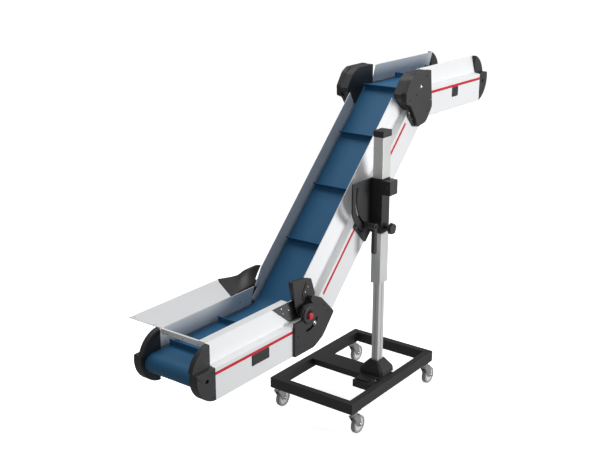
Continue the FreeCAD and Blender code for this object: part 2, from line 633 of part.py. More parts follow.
def build_hopper(start, place):
    """Wide loading wing on the far side, cross bar at the mouth, top lip and the black corner guard."""
    thick, wall = dim("hopper_sheet_thick"), dim("hopper_wall_half")
    level, outer = guard_top, dim("hopper_wall_half") + dim("wing_width")
    inner_face = dim("guard_half") - dim("sheet_wall")
    front, back = start + dim("wing_front"), start + dim("wing_back")
    wing = [(start + 2, inner_face), (front, inner_face), (back, outer), (start + 2, outer)]
    holes = [ring(start + 14, outer - 26, 5), ring(start + 14, wall + 30, 5)]
    plate = slab("hopper_wing", "XY", rounded(wing, {}), "Dims.hopper_sheet_thick", level, holes)
    keep(plate, "hopper_wing", place)

    drop = dim("bar_drop")
    span = "2 * (Dims.guard_half - Dims.sheet_wall)"
    bar = box("bar", "Dims.bar_depth", span, "Dims.hopper_sheet_thick",
              (start + 2, -inner_face, level - thick))
    skirt = box("skirt", "Dims.hopper_sheet_thick", span, "Dims.bar_drop",
                (start + 2, -inner_face, level - drop))
    keep(fuse("hopper_bar", bar, skirt), "hopper_bar", place)

    lip = box("lip", "Dims.infeed_length - 75", "Dims.lip_width", "Dims.hopper_sheet_thick",
              (start + 2, -dim("guard_half"), level))
    keep(lip, "hopper_lip", place)

    # ruled sheet that carries the wing's slanted end up to the incline's guard
    end_low = Vector(-3, dim("ledge_half") + 4, level)
    end_high = Vector(62, dim("ledge_half") + 4, level + 98)
    lower_edge = Part.LineSegment(Vector(front + 2, inner_face + 2, level), end_low).toShape()
    upper_edge = Part.Arc(Vector(back + 2, outer, level), Vector((back + 60) / 2, outer - 96, level + 64),
                          end_high).toShape()
    sheet_face = Part.makeRuledSurface(lower_edge, upper_edge)
    guard = doc.addObject("Part::Feature", "corner_guard")
    guard.Shape = sheet_face.extrude(Vector(0, 0, dim("hopper_sheet_thick")))
    keep(guard, "corner_guard", place)


# ---------------------------------------------------------------- lower hinge

def build_low_hinge():
    """Plates that cover the lower bend on both sides, their inner guards, pins and red knob."""
    depth = dim("plate_thick")
    shift = side_face + dim("side_gap")
    outline = [(-110, face_bottom), (52, face_bottom), (128, face_bottom + 36), (225, -50), (112, 62),
               (34, 96), (22, 76), (46, 42), (30, 58), (-30, 58), (-48, 30), (-46, -14), (-110, -12)]
    screws = [ring(x, level, 3.5) for x, level in ((-87, -88), (-87, -142), (135, 12), (171, -28))]
    pivot = ring(0, 0, dim("pin_dia") / 2 + dim("bearing_gap"))
    slot = arc_slot(dim("bend_slot_radius"), dim("bend_slot_width"), -97, -28)
    for label, side in (("low_hinge_plate_near", NEAR), ("low_hinge_plate_far", FAR)):
        corners = {1: 60, 2: 50, 3: 8, 4: 8, 5: 6, 6: 3, 8: 14, 9: 24, 10: 20, 11: 4}
        plate = slab("hinge_plate", "XZ", rounded(outline, corners),
                     "Dims.plate_thick", shift if side == NEAR else -shift - depth,
                     [pivot, slot] + screws)
        keep(plate, label, infeed_frame)

    inner = dim("ledge_half") + 9
    tall_fan = [(4, -24), (-26, 20), (-1, 86), (77, 197), (157, 100), (171, 65), (130, -22)]
    low_fan = [(-14, -18), (95, -22), (95, 40), (45, 40), (-14, 14)]
    for label, side, fan, radii in (("low_guard_near", NEAR, tall_fan, {3: 12, 4: 30, 5: 10}),
                                    ("low_guard_far", FAR, low_fan, {})):
        panel = slab("fan", "XZ", rounded(fan, radii), "Dims.guard_thick",
                     inner if side == NEAR else -inner - dim("guard_thick"))
        keep(panel, label, incline_frame)

    pins = []
    for side in (NEAR, FAR):
        start_y = inner + dim("guard_thick")
        pins.append(rod("pin", "Dims.pin_dia / 2", str(shift + depth + 6 - start_y),
                        (0, side * start_y, 0), (0, side, 0)))
    keep(solids("low_hinge_pins", *pins), "low_hinge_pins", incline_frame)
    knob = rod("knob", "Dims.knob_dia / 2", "Dims.knob_depth",
               (0, -shift - depth - 6 - dim("running_gap"), 0), (0, -1, 0))
    keep(knob, "low_hinge_knob", infeed_frame)

    # gusset on the near guard wall, screwed beside the hinge plate
    lean = math.degrees(math.atan2(dim("ledge_half") - dim("guard_half"), guard_top - ledge_top))
    panel = [(-200, guard_top + 3), (-14, guard_top + 3), (-6, -20), (-90, -20)]
    gusset = slab("gusset_pad", "XZ", rounded(panel, {2: 6, 3: 6}), "5 mm")
    gusset.Placement = Placement(Vector(0, -dim("ledge_half") - 0.2, ledge_top),
                                 Rotation(Vector(1, 0, 0), -lean)).multiply(
                                     Placement(Vector(0, 0, -ledge_top), LEVEL))
    keep(gusset, "infeed_gusset", infeed_frame)


# ---------------------------------------------------------------- incline section

def build_incline():
    place = incline_frame
    start, length = 4, "Dims.incline_length - Dims.cover_setback - 4"
    trim = [(start - 20, 2), (72, 2), (60, 36), (160, guard_top + 2), (start - 20, guard_top + 30)]
    for label, side in (("incline_side_near", NEAR), ("incline_side_far", FAR)):
        side_profile(label, side, start, length, place, trim)
    full, cover_start = dim("incline_length"), dim("incline_length") - dim("cover_setback")
    slider = bed("slider", [(start, bed_half), (cover_start, bed_half), (cover_start, slim_half),
                            (full - 24, slim_half)])
    bar_level = belt_top - 2 * loop_radius - dim("return_bar_dia") / 2
    bars = [rod("return_bar", "Dims.return_bar_dia / 2",
                "2 * (Dims.half_width - Dims.sheet_wall - Dims.running_gap)",
                (spot, dim("sheet_wall") + dim("running_gap") - side_face, bar_level), (0, 1, 0))
            for spot in (360, 1080)]
    keep(solids("incline_bed", slider, *bars), "incline_bed", place)
    first, behind = 150, tilt_station + dim("bracket_ahead") + 1
    beyond = "Dims.incline_length - Dims.tilt_station - Dims.bracket_ahead - 214"
    stripes("incline_stripes", [(NEAR, first, "Dims.tilt_station - Dims.bracket_behind - 151"),
                                (NEAR, behind, beyond), (FAR, first, "Dims.incline_length - 363")], place)
    thick = dim("belt_thick")
    low = belt_top - 2 * loop_radius
    carry = rounded([(2, belt_under), (full - 24, belt_under), (full - 24, belt_top), (2, belt_top)], {})
    back = rounded([(2, low), (full - 80, low), (full - 80, low + thick), (2, low + thick)], {})
    runs = slab("carry", "XZ", carry, "Dims.belt_width", 0, (), True)
    returning = slab("return", "XZ", back, "Dims.belt_width", 0, (), True)
    pitch = dim("cleat_pitch")
    flights = [box("cleat", "Dims.cleat_thick", "Dims.belt_width - 2 * Dims.cleat_inset",
                   "Dims.cleat_height", (spot, -dim("belt_width") / 2 + dim("cleat_inset"), belt_top))
               for spot in (387, 387 + pitch, 387 + 2 * pitch, full - 31)]
    upper = fuse("carrying_run", runs, *flights)
    keep(solids("incline_belt", upper, returning), "incline_belt", place)


# ---------------------------------------------------------------- upper hinge

def build_high_hinge():
    """Thick moulded covers over the upper bend, fixed to the incline."""
    proud, clear = dim("cover_proud"), dim("side_gap")
    disc = [(-157, -20), (-154, -75), (-105, -95), (-42, -185), (-23, -220), (62, -208), (124, -130),
            (101, 78), (-60, 76), (-105, 55)]
    flange = [(-103, -90), (-103, -135), (-96, -160), (-38, -221), (29, -232), (50, -190), (-30, -150)]
    setback = 1 - dim("cover_setback")

    def turned(along, across):
        """A point given along and across the incline, seen level from the upper hinge axis."""
        return along * slope_cos - across * slope_sin, along * slope_sin + across * slope_cos

    lead = [turned(setback, -36), turned(setback, 72), turned(setback + 12, 96), (-105, 49), (-50, 76),
            (98, 76), (98, -20), (80, -138)]
    for label, side in (("high_cover_near", NEAR), ("high_cover_far", FAR)):
        outer_face = side_face + clear
        plate = slab("cover_plate", "XZ", rounded(disc, {0: 20, 1: 8, 2: 30, 4: 8, 5: 60, 6: 30, 9: 60}),
                     str(proud - clear), outer_face if side == NEAR else -side_face - proud,
                     [ring(0, 0, dim("cover_hole"))])
        reach = side_face + clear - dim("cap_inner")
        inner = slab("cover_inner", "XZ", rounded(lead, {1: 6, 3: 60, 4: 60}), str(reach),
                     dim("cap_inner") if side == NEAR else -side_face - clear)
        rim = slab("cover_flange", "XZ", rounded(flange, {1: 10, 3: 30, 4: 10}), "Dims.flange_thick",
                   outer_face if side == NEAR else -outer_face - dim("flange_thick"))
        shell = fuse(label, plate, inner, rim)
        shell.Placement = discharge_frame
        shell.Label = label
        nodes.append(shell)


# ---------------------------------------------------------------- discharge section

def build_discharge():
    place = discharge_frame
    setback, end = dim("discharge_setback"), dim("discharge_length")
    for label, side in (("discharge_side_near", NEAR), ("discharge_side_far", FAR)):
        side_profile(label, side, setback, "Dims.discharge_length - Dims.discharge_setback", place)
    slider = bed("discharge_bed", [(24, slim_half), (setback, slim_half),
                                   (setback, bed_half), (end, bed_half)])
    keep(slider, "discharge_bed", place)
    stripes("discharge_stripes", [(side, 150, "Dims.discharge_length - 150") for side in (NEAR, FAR)],
            place)
    centre = dim("discharge_length") + dim("discharge_reach")
    belt("discharge_belt", wrapped_run(centre, 22, 80), [319, 319 + dim("cleat_pitch")], place)
    drum("drive_drum", centre, place)
    for label, side in (("discharge_cap_near", NEAR), ("discharge_cap_far", FAR)):
        end_cap(label, side, dim("discharge_length"), 1, dim("cap_nose_discharge"), centre, place)
    switch = box("switch", "67", "4", "56", (407, -side_face - 4, face_bottom + 70))
    keep(switch, "switch_box", place)


build_base()
build_mast_foot()
build_mast_slide()
build_casters()
build_carriage()
build_tilt_clamp()
build_infeed()
build_low_hinge()
build_incline()
build_high_hinge()
build_discharge()
doc.recompute()

for item in doc.Objects:
    if "Invalid" in item.State or "Error" in item.State:
        raise RuntimeError("%s failed: %s" % (item.Label, item.State))
os.makedirs("parts", exist_ok=True)
for item in nodes:
    if item.Shape.isNull() or not item.Shape.isValid():
        raise RuntimeError("%s has no valid shape" % item.Label)
    item.Shape.exportStep("parts/%s.step" % item.Label)
print("%d nodes" % len(nodes))
print("origin shift: mast %.3f %.3f, low hinge %.3f %.3f %.3f, high hinge %.3f %.3f"
      % (mast_x, mast_y, low_x, belt_y, low_z, high_x, high_z))
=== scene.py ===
import json
import math

import bmesh
import bpy
from mathutils import Matrix, Vector


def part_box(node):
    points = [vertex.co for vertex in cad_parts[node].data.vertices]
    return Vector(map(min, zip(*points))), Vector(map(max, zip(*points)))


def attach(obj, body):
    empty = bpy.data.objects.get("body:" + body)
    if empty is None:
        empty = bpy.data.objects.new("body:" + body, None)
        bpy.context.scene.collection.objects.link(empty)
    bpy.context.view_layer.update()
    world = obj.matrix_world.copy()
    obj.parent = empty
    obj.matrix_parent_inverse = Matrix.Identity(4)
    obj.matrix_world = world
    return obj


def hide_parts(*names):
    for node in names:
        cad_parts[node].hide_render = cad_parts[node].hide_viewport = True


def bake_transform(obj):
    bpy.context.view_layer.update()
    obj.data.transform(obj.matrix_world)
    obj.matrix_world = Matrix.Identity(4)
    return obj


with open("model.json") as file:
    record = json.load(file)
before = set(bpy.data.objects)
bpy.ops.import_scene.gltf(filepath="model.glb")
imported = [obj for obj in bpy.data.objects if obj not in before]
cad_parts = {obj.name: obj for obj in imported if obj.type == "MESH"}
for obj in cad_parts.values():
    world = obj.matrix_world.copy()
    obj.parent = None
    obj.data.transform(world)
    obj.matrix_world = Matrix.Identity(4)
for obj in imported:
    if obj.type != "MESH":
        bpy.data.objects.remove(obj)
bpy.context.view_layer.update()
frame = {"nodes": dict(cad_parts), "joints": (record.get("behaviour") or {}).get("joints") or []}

# ---------------------------------------------------------------- base frame
# Rectangular steel tube, mitred and welded, with a flat cross member and a foot block.  Black powder
# coat, slightly orange-peeled, with the beads of the welds standing a little proud.

nodes = frame["nodes"]
up = Vector((0, 0, 1))


def layered(name, colour, roughness, metallic=0.0, shade=0.08, patch=7.0, grain=900.0, bump=0.05,
            stretch=(1, 1, 1), turn=0.0, spread=0.12, edge=None, edge_width=0.0015, distance=0.0004,
            weave=0.0):
    """Node material: blotches and grain in the colour, uneven roughness, fine bump and worn edges."""
    made = bpy.data.materials.new(name)
    made.use_nodes = True
    tree, link = made.node_tree.nodes, made.node_tree.links.new
    shader = tree["Principled BSDF"]
    shader.inputs["Metallic"].default_value = metallic
    place = tree.new("ShaderNodeTexCoord")
    mapping = tree.new("ShaderNodeMapping")
    mapping.inputs["Rotation"].default_value = (0, turn, 0)
    mapping.inputs["Scale"].default_value = stretch
    link(place.outputs["Object"], mapping.inputs["Vector"])
    blotch = tree.new("ShaderNodeTexNoise")
    blotch.inputs["Scale"].default_value = patch
    blotch.inputs["Detail"].default_value = 5
    link(place.outputs["Object"], blotch.inputs["Vector"])
    fine = tree.new("ShaderNodeTexNoise")
    fine.inputs["Scale"].default_value = grain
    fine.inputs["Detail"].default_value = 2
    link(mapping.outputs["Vector"], fine.inputs["Vector"])
    both = tree.new("ShaderNodeMath")
    both.operation = "ADD"
    link(blotch.outputs["Fac"], both.inputs[0])
    link(fine.outputs["Fac"], both.inputs[1])
    contrast = tree.new("ShaderNodeMapRange")
    contrast.inputs["From Min"].default_value = 0.7
    contrast.inputs["From Max"].default_value = 1.3
    link(both.outputs[0], contrast.inputs["Value"])
    ramp = tree.new("ShaderNodeMix")
    ramp.data_type = "RGBA"
    ramp.inputs["A"].default_value = (*[part * (1 - shade) for part in colour], 1)
    ramp.inputs["B"].default_value = (*[min(1, part * (1 + shade)) for part in colour], 1)
    link(contrast.outputs["Result"], ramp.inputs["Factor"])
    tint = ramp.outputs["Result"]
    if edge:
        shape = tree.new("ShaderNodeNewGeometry")
        rounded = tree.new("ShaderNodeBevel")
        rounded.samples = 4
        rounded.inputs["Radius"].default_value = edge_width
        sharpness = tree.new("ShaderNodeVectorMath")
        sharpness.operation = "DOT_PRODUCT"
        link(shape.outputs["Normal"], sharpness.inputs[0])
        link(rounded.outputs["Normal"], sharpness.inputs[1])
        rub = tree.new("ShaderNodeMapRange")
        rub.inputs["From Min"].default_value = 0.99
        rub.inputs["From Max"].default_value = 0.80
        rub.inputs["To Max"].default_value = 0.9
        link(sharpness.outputs["Value"], rub.inputs["Value"])
        worn = tree.new("ShaderNodeMix")
        worn.data_type = "RGBA"
        worn.inputs["B"].default_value = (*edge, 1)
        link(rub.outputs["Result"], worn.inputs["Factor"])
        link(tint, worn.inputs["A"])
        tint = worn.outputs["Result"]
    link(tint, shader.inputs["Base Color"])
    dull = tree.new("ShaderNodeMapRange")
    dull.inputs["To Min"].default_value = roughness - spread / 2
    dull.inputs["To Max"].default_value = roughness + spread / 2
    link(blotch.outputs["Fac"], dull.inputs["Value"])
    link(dull.outputs["Result"], shader.inputs["Roughness"])
    relief = tree.new("ShaderNodeBump")
    relief.inputs["Strength"].default_value = bump
    relief.inputs["Distance"].default_value = distance
    height = fine.outputs["Fac"]
    if weave:
        for direction in ("X", "Y"):
            threads = tree.new("ShaderNodeTexWave")
            threads.bands_direction = direction
            threads.inputs["Scale"].default_value = 2 * math.pi / (20 * weave)
            threads.inputs["Distortion"].default_value = 0.4
            link(mapping.outputs["Vector"], threads.inputs["Vector"])
            crossing = tree.new("ShaderNodeMath")
            crossing.operation = "ADD"
            link(height, crossing.inputs[0])
            link(threads.outputs["Fac"], crossing.inputs[1])
            height = crossing.outputs[0]
    link(height, relief.inputs["Height"])
    link(relief.outputs["Normal"], shader.inputs["Normal"])
    return made


def dress(finish, *names, round_off=0.0):
    """Give CAD nodes a finish, and round their sharp edges a little."""
    for name in names:
        node = nodes[name]
        node.data.materials.clear()
        node.data.materials.append(finish)
        if round_off:
            soften(node, round_off)


def soften(piece, width, angle=28):
    """Weld, dissolve flat faces, bevel sharp edges and shade smoothly."""
    weld = piece.modifiers.new("weld", "WELD")
    weld.merge_threshold = 0.00002
    flat = piece.modifiers.new("flat", "DECIMATE")
    flat.decimate_type = "DISSOLVE"
    flat.angle_limit = math.radians(0.4)
    bevel = piece.modifiers.new("bevel", "BEVEL")
    bevel.width = width
    bevel.segments = 2
    bevel.limit_method = "ANGLE"
    bevel.angle_limit = math.radians(angle)
    bevel.miter_outer = "MITER_ARC"
    for face in piece.data.polygons:
        face.use_smooth = True
    normals = piece.modifiers.new("normals", "WEIGHTED_NORMAL")
    normals.weight = 80
    normals.keep_sharp = False


def piece_from(mesh, name, finish, body, crisp=0.0):
    """Turn a bmesh into a named object with a finish that rides on a body; crisp rounds its edges."""
    bmesh.ops.recalc_face_normals(mesh, faces=mesh.faces)
    data = bpy.data.meshes.new(name)
    mesh.to_mesh(data)
    mesh.free()
    made = bpy.data.objects.new(name, data)
    bpy.context.scene.collection.objects.link(made)
    made.data.materials.append(finish)
    for face in made.data.polygons:
        face.use_smooth = True
    if crisp:
        soften(made, crisp)
    if body:
        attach(made, body)
    return made


black_coat = layered("black_powder_coat", (0.020, 0.020, 0.022), 0.42, shade=0.10,
                     grain=520, bump=0.16, edge=(0.07, 0.07, 0.075))
dress(black_coat, "base_frame", "cross_member", round_off=0.0016)
frame_low, frame_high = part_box("base_frame")
beam_top = frame_high.z


def weld_bead(mesh, start, end, lift, radius=0.0016):
    """A rippled half-round bead along a seam."""
    run = end - start
    count = max(6, int(run.length / 0.0035))
    along = run.normalized()
    across = along.cross(lift).normalized()
    previous = None
    for step in range(count + 1):
        swell = radius * (1.0 if step % 2 else 0.78)
        centre = start + run * (step / count)
        ring = [mesh.verts.new(centre + across * swell * math.cos(turn) + lift * swell * math.sin(turn))
                for turn in (-0.4, 0.5, 1.2, 1.9, 2.6, 3.54)]
        if previous:
            for first in range(5):
                mesh.faces.new((previous[first], previous[first + 1], ring[first + 1], ring[first]))
        previous = ring


beads = bmesh.new()
beam = 0.040
for side_x, inner_x in ((frame_low.x, frame_low.x + beam), (frame_high.x, frame_high.x - beam)):
    for side_y, inner_y in ((frame_low.y, frame_low.y + beam), (frame_high.y, frame_high.y - beam)):
        weld_bead(beads, Vector((side_x, side_y, beam_top)), Vector((inner_x, inner_y, beam_top)), up, 0.0010)
        inward = Vector((inner_x - side_x, inner_y - side_y, 0)).normalized()
        weld_bead(beads, Vector((inner_x, inner_y, beam_top - 0.058)),
                  Vector((inner_x, inner_y, beam_top - 0.002)), inward, 0.0022)
piece_from(beads, "frame_welds", black_coat, "stand")

# ---------------------------------------------------------------- casters
# Swivel casters: pressed zinc-plated fork on a ball race, white hub, grey rubber tread and a bolt
# through the axle with a nut on each side.

def turned(mesh, rings, spot, axis, steps=24, hexes=()):
    """Add a lathe form: rings of (radius, height) about an axis; rings in hexes are six-sided."""
    lift = Vector(axis).normalized()
    side = lift.orthogonal().normalized()
    across = lift.cross(side)
    loops = []
    for index, (radius, height) in enumerate(rings):
        centre = Vector(spot) + lift * height
        if radius <= 0:
            loops.append([mesh.verts.new(centre)])
            continue
        loop = []
        for step in range(steps):
            turn = 2 * math.pi * step / steps
            reach = radius
            if index in hexes:
                reach = radius * math.cos(math.pi / 6) / math.cos((turn % (math.pi / 3)) - math.pi / 6)
            loop.append(mesh.verts.new(centre + (side * math.cos(turn) + across * math.sin(turn)) * reach))
        loops.append(loop)
    for lower, upper in zip(loops, loops[1:]):
        for step in range(steps):
            follow = (step + 1) % steps
            corners = [lower[step % len(lower)], lower[follow % len(lower)],
                       upper[follow % len(upper)], upper[step % len(upper)]]
            unique = list(dict.fromkeys(corners))
            if len(unique) > 2:
                mesh.faces.new(unique)
    for loop in (loops[0], loops[-1]):
        if len(loop) > 2:
            mesh.faces.new(loop)


def button_screws(name, spots, axis, size, finish, body):
    """Button-head screws with a hexagon socket, all of one size and direction."""
    mesh = bmesh.new()
    rings = [(size, -0.3 * size), (size, 0.12 * size), (0.93 * size, 0.34 * size), (0.74 * size, 0.54 * size),
             (0.5 * size, 0.62 * size), (0.48 * size, 0.58 * size), (0.46 * size, 0.2 * size), (0, 0.16 * size)]
    for spot in spots:
        turned(mesh, rings, spot, axis, 24, (4, 5, 6))
    return piece_from(mesh, name, finish, body)


def hex_heads(name, spots, axis, size, finish, body):
    """Hexagon bolt heads on their washers."""
    mesh = bmesh.new()
    for spot in spots:
        turned(mesh, [(1.5 * size, -0.1 * size), (1.5 * size, 0.2 * size), (1.42 * size, 0.28 * size),
                      (0, 0.28 * size)], spot, axis)
        turned(mesh, [(size, 0.2 * size), (size, 0.95 * size), (0.92 * size, 1.05 * size), (0, 1.05 * size)],
               spot, axis, 24, (0, 1))
    return piece_from(mesh, name, finish, body)


hinges = {joint["name"]: Vector(joint["pos_m"]) for joint in frame["joints"] if "pos_m" in joint}
zinc = layered("zinc_plate", (0.62, 0.63, 0.64), 0.28, metallic=0.95, shade=0.08,
               patch=30, grain=700, bump=0.04)
hub_white = layered("white_hub", (0.72, 0.72, 0.72), 0.38, shade=0.04, grain=400, bump=0.05)
tread_grey = layered("grey_tread", (0.36, 0.36, 0.37), 0.62, shade=0.07, grain=1100, bump=0.25)
beam_height, caster_plate, race_drop = 0.060, 0.003, 0.0245
for number in range(1, 5):
    dress(hub_white, "caster_hub_%d" % number, round_off=0.0012)
    dress(tread_grey, "caster_tyre_%d" % number)
    for face in nodes["caster_tyre_%d" % number].data.polygons:
        face.use_smooth = True
    dress(zinc, "caster_fork_%d" % number, round_off=0.0010)
    swivel = hinges["caster_swivel_%d" % number]
    axle = hinges["wheel_roll_%d" % number]
    mesh = bmesh.new()
    crown = beam_top - beam_height - caster_plate - race_drop
    turned(mesh, [(0.0195, 0), (0.0198, 0.004), (0.0185, 0.0062), (0.0165, 0.0070), (0.0165, 0.0085),
                  (0.0196, 0.0100), (0.0198, 0.0150), (0.0150, 0.0200), (0, 0.0200)],
           Vector((swivel.x, swivel.y, crown)), up, 40)
    piece_from(mesh, "caster_race_%d" % number, zinc, "caster_%d" % number)
    for side in (-1, 1):
        hex_heads("caster_nut_%d_%s" % (number, "near" if side < 0 else "far"),
                  [Vector((axle.x, axle.y + side * 0.0188, axle.z))], (0, side, 0), 0.0065,
                  zinc, "caster_%d" % number)
    button_screws("caster_plate_screws_%d" % number,
                  [Vector((swivel.x + step, swivel.y + 0.011 * way, beam_top - 0.063)) for step, way in
                   ((-0.034, -1), (-0.034, 1), (0.034, -1), (0.034, 1))], (0, 0, -1), 0.0052, zinc, "stand")

# ---------------------------------------------------------------- mast
# Fixed inner column with T-slots in a moulded foot cover, and the anodised outer tube that slides over
# it, closed by a black cap.

black_plastic = layered("black_moulding", (0.022, 0.022, 0.024), 0.50, shade=0.08,
                        grain=1300, bump=0.20, edge=(0.065, 0.065, 0.07))
mast_metal = layered("anodised_mast", (0.78, 0.78, 0.77), 0.36, metallic=0.5,
                     shade=0.03, grain=260, bump=0.03, stretch=(14, 14, 1), patch=4)
dress(black_plastic, "base_cover", "mast_cap", round_off=0.0025)
dress(mast_metal, "mast_inner", round_off=0.0006)
dress(mast_metal, "mast_outer", round_off=0.0012)

# ---------------------------------------------------------------- carriage and tilt clamp
# Black cast carriage that grips the mast, a slotted quadrant that holds the tilt, a brake block, a star
# knob and a clamp lever.

dress(black_coat, "carriage", "quadrant_plate", "tilt_bracket", round_off=0.0012)
dress(black_plastic, "brake_block", "height_knob", "tilt_lever", round_off=0.0016)

# ---------------------------------------------------------------- conveyor sides and hopper
# White powder-coated aluminium profiles with a sloped ledge and a guard that leans inwards; the
# loading wing, cross bar and lip are folded sheet of the same finish.  The slider beds and drums are
# bare steel, the red stripes are inlaid, and the end caps are black mouldings screwed on.

white = (0.80, 0.81, 0.82)
white_level = layered("white_profile_level", white, 0.52, metallic=0.05, shade=0.03,
                      patch=3, grain=300, bump=0.03, stretch=(1, 18, 18))
white_slope = layered("white_profile_slope", white, 0.52, metallic=0.05, shade=0.03,
                      patch=3, grain=300, bump=0.03, stretch=(1, 18, 18), turn=math.radians(45))
dress(white_level, "infeed_side_near", "infeed_side_far", "discharge_side_near", "discharge_side_far",
      "hopper_wing", "hopper_bar", "hopper_lip", round_off=0.0006)
dress(white_slope, "incline_side_near", "incline_side_far", round_off=0.0006)
bed_steel = layered("bed_sheet", (0.55, 0.56, 0.58), 0.35, metallic=0.9, shade=0.06,
                    grain=500, bump=0.05, stretch=(1, 20, 20))
dress(bed_steel, "infeed_bed", "incline_bed", "discharge_bed")
dress(bed_steel, "tail_drum", "drive_drum", round_off=0.001)
red_inlay = layered("red_inlay", (0.60, 0.015, 0.035), 0.30, shade=0.05, grain=500, bump=0.03)
dress(red_inlay, "infeed_stripes", "incline_stripes", "discharge_stripes")
dress(black_plastic, "infeed_cap_near", "infeed_cap_far", "discharge_cap_near", "discharge_cap_far",
      "infeed_plate", "infeed_gusset", "switch_box", round_off=0.0022)

# ---------------------------------------------------------------- bends
# Black plates and guards over the lower bend with a red clamp knob, and thick moulded covers over the
# upper bend, with the screws that hold them and the neighbouring guards, bar, bracket and feet.

low_hinge, high_hinge, tilt_pivot = hinges["low_bend"], hinges["high_bend"], hinges["tilt"]


def level(origin, x, y, z):
    """A point beside an origin, given in millimetres along the frame's axes."""
    return origin + Vector((x, y, z)) / 1000


def prism(mesh, outline, depth, place):
    """Add a closed outline of (x, y) points in millimetres, pushed through a depth along local z."""
    near = [mesh.verts.new(place @ Vector((x / 1000, y / 1000, 0))) for x, y in outline]
    far = [mesh.verts.new(place @ Vector((x / 1000, y / 1000, depth / 1000))) for x, y in outline]
    mesh.faces.new(near)
    mesh.faces.new(far)
    for first in range(len(near)):
        follow = (first + 1) % len(near)
        mesh.faces.new((near[first], near[follow], far[follow], far[first]))


dress(black_plastic, "low_hinge_plate_near", "low_hinge_plate_far", "low_guard_near", "low_guard_far",
      "high_cover_near", "high_cover_far", round_off=0.0022)
red_plastic = layered("red_knob", (0.62, 0.03, 0.05), 0.34, shade=0.06, grain=900, bump=0.06)
dress(red_plastic, "low_hinge_knob", round_off=0.003)
dress(zinc, "low_hinge_pins", round_off=0.001)

side_face, plate_face, flange_face, cover_face = 200, 214.5, 208.5, 230
slot_radius = 80
bright = layered("bright_steel", (0.66, 0.66, 0.67), 0.24, metallic=0.9, shade=0.05, patch=60,
                 grain=900, bump=0.04)
dark_steel = layered("dark_steel", (0.05, 0.05, 0.055), 0.34, metallic=0.7, shade=0.1, patch=60,
                     grain=900, bump=0.05)
for label, way in (("near", -1), ("far", 1)):
    outward = (0, way, 0)
    bolt_turn = math.radians(-48)
    hex_heads("bend_bolt_" + label, [level(low_hinge, slot_radius * math.cos(bolt_turn), way * plate_face,
                                              slot_radius * math.sin(bolt_turn))],
              outward, 0.0080, bright, "incline")
    button_screws("hinge_plate_screws_" + label,
                  [level(low_hinge, x, way * 214.3, z)
                   for x, z in ((-87, -88), (-87, -142), (135, 12), (171, -28))],
                  outward, 0.0050, dark_steel, "infeed")
    mesh = bmesh.new()
    turned(mesh, [(0.0146, -0.012), (0.0146, 0.0040), (0.0138, 0.0052), (0.0080, 0.0056), (0.0074, 0.0046),
                  (0.0050, 0.0040), (0, 0.0038)], level(high_hinge, 0, way * 222, 0), outward, 36)
    piece_from(mesh, "high_pivot_" + label, bright, "incline")
    button_screws("cover_screws_" + label, [level(high_hinge, x, way * cover_face, z) for x, z in
                                            ((-46, -41), (72, -150), (-118, -60), (60, 50))],
                  outward, 0.0046, dark_steel, "incline")
    button_screws("cover_dot_" + label, [level(high_hinge, 108, way * cover_face, -88)], outward, 0.0042,
                  bright, "incline")
    button_screws("flange_screws_" + label, [level(high_hinge, x, way * flange_face, z) for x, z in
                                             ((-88, -137), (-53, -176), (8, -212))],
                  outward, 0.0044, bright, "incline")
    mesh = bmesh.new()
    turned(mesh, [(0.0095, -0.001), (0.0095, 0.008), (0.0086, 0.0105), (0.0050, 0.0116), (0, 0.0118)],
           level(high_hinge, 134, way * side_face, -40), outward, 30)
    piece_from(mesh, "discharge_stop_" + label, black_plastic, "discharge")
    button_screws("infeed_cap_screws_" + label,
                  [level(low_hinge, -708, way * side_face, z) for z in (-48, -172)],
                  outward, 0.0042, dark_steel, "infeed")
    button_screws("discharge_cap_screws_" + label,
                  [level(high_hinge, 770, way * side_face, z) for z in (-48, -172)],
                  outward, 0.0042, dark_steel, "discharge")

upright = Matrix.Rotation(math.pi / 2, 4, "X")
for label, way in (("near", -1), ("far", 1)):
    mesh = bmesh.new()
    turned(mesh, [(0.0180, 0.000), (0.0180, 0.0072), (0.0190, 0.0082), (0.0430, 0.0090), (0.0455, 0.0080),
                  (0.0470, 0.0056), (0.0470, -0.0020)],
           level(low_hinge, 0, way * plate_face, 4), (0, way, 0), 64)
    piece_from(mesh, "hinge_boss_" + label, black_plastic, "infeed")
    mesh = bmesh.new()
    inside, outside = 60, 98
    sweep = [math.radians(turn) for turn in range(-112, -15, 4)]
    outline = [(outside * math.cos(turn), outside * math.sin(turn)) for turn in sweep]
    outline += [(inside * math.cos(turn), inside * math.sin(turn)) for turn in reversed(sweep)]
    face = Matrix.Translation(level(low_hinge, 0, way * 195 if way > 0 else -192, 0))
    prism(mesh, outline, 3, face @ upright)
    piece_from(mesh, "bend_backing_" + label, black_plastic, "incline", 0.0006)

# thick moulded lead of the near guard, above the infeed's guard wall
lead = [(-61, 86), (-70, 130), (-84, 188), (-78, 192), (34, 181), (52, 165), (22, 92), (16, 86)]
mesh = bmesh.new()
prism(mesh, lead, 22, Matrix.Translation(level(low_hinge, 0, -150, 0)) @ upright)
piece_from(mesh, "guard_lead", black_plastic, "incline", 0.0020)
# screwed clamp piece on the near guard, with its two screws
clamp = [(2, 68), (38, 52), (66, 130), (30, 160), (-4, 112)]
mesh = bmesh.new()
prism(mesh, clamp, 5, Matrix.Translation(level(low_hinge, 0, -177.5, 0)) @ upright)
piece_from(mesh, "guard_clamp", black_plastic, "incline", 0.0014)


def guard_line(z):
    """How far out the leaning guard's face stands at a height above the hinge, in millimetres."""
    return 163.2 - 0.23 * (z + 25)


